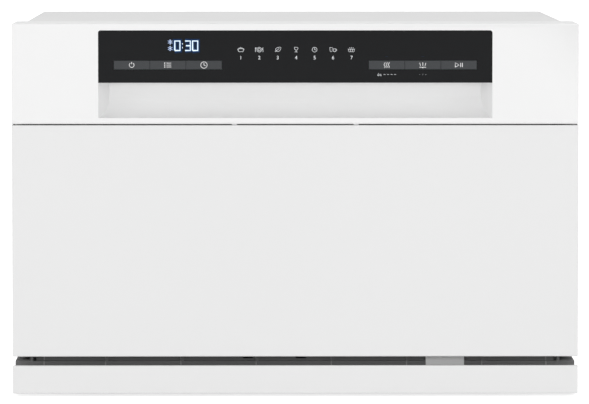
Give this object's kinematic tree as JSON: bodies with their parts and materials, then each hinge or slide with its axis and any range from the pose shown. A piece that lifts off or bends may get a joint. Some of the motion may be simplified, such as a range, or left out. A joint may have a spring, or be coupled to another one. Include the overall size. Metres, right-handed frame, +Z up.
{
  "type": "table-top dishwasher",
  "caption": "White table-top dishwasher with a drop-down door, touch-style key panel over a scooped grip, and a wheeled wire rack over a spray arm.",
  "frame": {"origin": "middle of the footprint at the underside of the feet", "axes": "+Z up, +X to the right of someone facing the door, the door faces -Y"},
  "size_m": [0.55, 0.5, 0.363],
  "materials": {
    "white_sheet": "smooth white baked paint",
    "white_moulding": "white moulded plastic, satin",
    "window_black": "gloss black, printed pictograms",
    "key_grey": "dark grey, fine matt",
    "base_grey": "dark grey moulded plastic",
    "clip_grey": "light grey moulded plastic",
    "light_grey_moulding": "light grey moulded plastic",
    "spray_grey": "mid grey moulded plastic",
    "basket_grey": "grey moulded plastic",
    "rack_coat": "grey plastic coating on steel wire",
    "stainless": "fine brushed stainless sheet",
    "zinc_steel": "bright zinc plated steel",
    "tank_white": "milky white moulded plastic",
    "pump_black": "black moulded plastic",
    "hose_black": "black rubber hose",
    "seal_grey": "dark grey rubber profile",
    "black_rubber": "black rubber",
    "board_green": "coated circuit board",
    "cap_blue": "blue moulded plastic"
  },
  "bodies": {
    "cabinet": {"base_tray": "base_grey", "plinth": "white_sheet", "plinth_clip": "clip_grey", "rubber_feet": "black_rubber", "outer_casing": "white_sheet", "back_panel": "white_sheet", "casing_screws": "zinc_steel", "front_frame": "white_moulding", "latch_strike": "zinc_steel", "tub_wrapper": "stainless", "tub_back": "stainless", "tub_floor": "stainless", "tub_seal": "seal_grey", "sump": "light_grey_moulding", "filter_plate": "stainless", "softener": "tank_white", "wash_pump": "pump_black", "drain_pump": "pump_black", "flow_heater": "stainless", "air_break": "tank_white", "inlet_valve": "tank_white", "drain_outlet": "pump_black", "cord_gland": "pump_black", "water_hoses": "hose_black", "hinge_brackets": "zinc_steel", "door_springs": "zinc_steel"},
    "door": {"door_outer_panel": "white_sheet", "door_inner_panel": "stainless", "door_screws": "zinc_steel", "control_panel": "white_moulding", "display_window": "window_black", "control_board": "board_green", "latch_housing": "pump_black", "dispenser_body": "light_grey_moulding", "hinge_arms": "zinc_steel"},
    "rack": {"rack_floor": "rack_coat", "rack_front_wall": "rack_coat", "rack_rear_wall": "rack_coat", "rack_left_wall": "rack_coat", "rack_right_wall": "rack_coat", "cutlery_basket": "basket_grey"},
    "micro_filter": {"micro_filter": "light_grey_moulding"},
    "spray_arm": {"spray_arm": "spray_grey"},
    "salt_cap": {"salt_cap": "cap_blue"},
    "float": {"float": "light_grey_moulding"},
    "power_key": {"power_key": "key_grey"},
    "programme_key": {"programme_key": "key_grey"},
    "delay_key": {"delay_key": "key_grey"},
    "dry_key": {"dry_key": "key_grey"},
    "wash_key": {"wash_key": "key_grey"},
    "start_key": {"start_key": "key_grey"},
    "latch_hook": {"latch_hook": "zinc_steel"},
    "detergent_lid": {"detergent_lid": "spray_grey"},
    "rinse_cap": {"rinse_cap": "cap_blue"},
    "front_wheels": {"front_wheels": "spray_grey"},
    "rear_wheels": {"rear_wheels": "spray_grey"},
    "front_tines": {"front_tines": "rack_coat"},
    "rear_tines": {"rear_tines": "rack_coat"},
    "cup_shelf": {"cup_shelf": "rack_coat"}
  },
  "joints": [
    {"name": "door_hinge", "type": "hinge", "parent": "cabinet", "child": "door", "pos_m": [0, -0.23, 0.0525], "axis": [1, 0, 0], "range_deg": [0, 90], "deforming": ["door_springs"]},
    {"name": "rack_slide", "type": "slide", "parent": "cabinet", "child": "rack", "axis": [0, -1, 0], "range_m": [0, 0.12]},
    {"name": "front_wheels_roll", "type": "hinge", "parent": "rack", "child": "front_wheels", "pos_m": [0, -0.124, 0.1003], "axis": [1, 0, 0], "range_deg": [-5, 620]},
    {"name": "rear_wheels_roll", "type": "hinge", "parent": "rack", "child": "rear_wheels", "pos_m": [0, 0.14, 0.1003], "axis": [1, 0, 0], "range_deg": [-5, 620]},
    {"name": "front_tines_fold", "type": "hinge", "parent": "rack", "child": "front_tines", "pos_m": [0, -0.066, 0.1222], "axis": [1, 0, 0], "range_deg": [0, 80]},
    {"name": "rear_tines_fold", "type": "hinge", "parent": "rack", "child": "rear_tines", "pos_m": [0, 0.064, 0.1222], "axis": [1, 0, 0], "range_deg": [0, 80]},
    {"name": "cup_shelf_fold", "type": "hinge", "parent": "rack", "child": "cup_shelf", "pos_m": [-0.2095, 0, 0.214], "axis": [0, -1, 0], "range_deg": [0, 88]},
    {"name": "spray_arm_spin", "type": "hinge", "parent": "cabinet", "child": "spray_arm", "pos_m": [0, 0.02, 0.095], "axis": [0, 0, 1], "continuous": true},
    {"name": "micro_filter_twist", "type": "hinge", "parent": "cabinet", "child": "micro_filter", "pos_m": [0.078, -0.038, 0.082], "axis": [0, 0, 1], "range_deg": [0, 90]},
    {"name": "salt_cap_turn", "type": "hinge", "parent": "cabinet", "child": "salt_cap", "pos_m": [-0.186, -0.142, 0.086], "axis": [0, 0, 1], "range_deg": [0, 360]},
    {"name": "float_rise", "type": "slide", "parent": "cabinet", "child": "float", "axis": [0, 0, 1], "range_m": [0, 0.006]},
    {"name": "latch_hook_lift", "type": "hinge", "parent": "door", "child": "latch_hook", "pos_m": [0, -0.22, 0.35665], "axis": [1, 0, 0], "range_deg": [0, 3], "stiffness_Nm_per_rad": 0.4},
    {"name": "detergent_lid_slide", "type": "slide", "parent": "door", "child": "detergent_lid", "axis": [-1, 0, 0], "range_m": [0, 0.056]},
    {"name": "rinse_cap_turn", "type": "hinge", "parent": "door", "child": "rinse_cap", "pos_m": [0.042, -0.19, 0.174], "axis": [0, 1, 0], "range_deg": [0, 90]},
    {"name": "power_key_press", "type": "slide", "parent": "door", "child": "power_key", "axis": [0, 1, 0], "range_m": [0, 0.0008], "stiffness_N_per_m": 600},
    {"name": "programme_key_press", "type": "slide", "parent": "door", "child": "programme_key", "axis": [0, 1, 0], "range_m": [0, 0.0008], "stiffness_N_per_m": 600},
    {"name": "delay_key_press", "type": "slide", "parent": "door", "child": "delay_key", "axis": [0, 1, 0], "range_m": [0, 0.0008], "stiffness_N_per_m": 600},
    {"name": "dry_key_press", "type": "slide", "parent": "door", "child": "dry_key", "axis": [0, 1, 0], "range_m": [0, 0.0008], "stiffness_N_per_m": 600},
    {"name": "wash_key_press", "type": "slide", "parent": "door", "child": "wash_key", "axis": [0, 1, 0], "range_m": [0, 0.0008], "stiffness_N_per_m": 600},
    {"name": "start_key_press", "type": "slide", "parent": "door", "child": "start_key", "axis": [0, 1, 0], "range_m": [0, 0.0008], "stiffness_N_per_m": 600}
  ],
  "couplings": [
    {"joint": "rack_slide", "follows": "door_hinge", "m_per_rad": 0.075},
    {"joint": "front_wheels_roll", "follows": "door_hinge", "ratio": 6.8182},
    {"joint": "rear_wheels_roll", "follows": "door_hinge", "ratio": 6.8182}
  ]
}
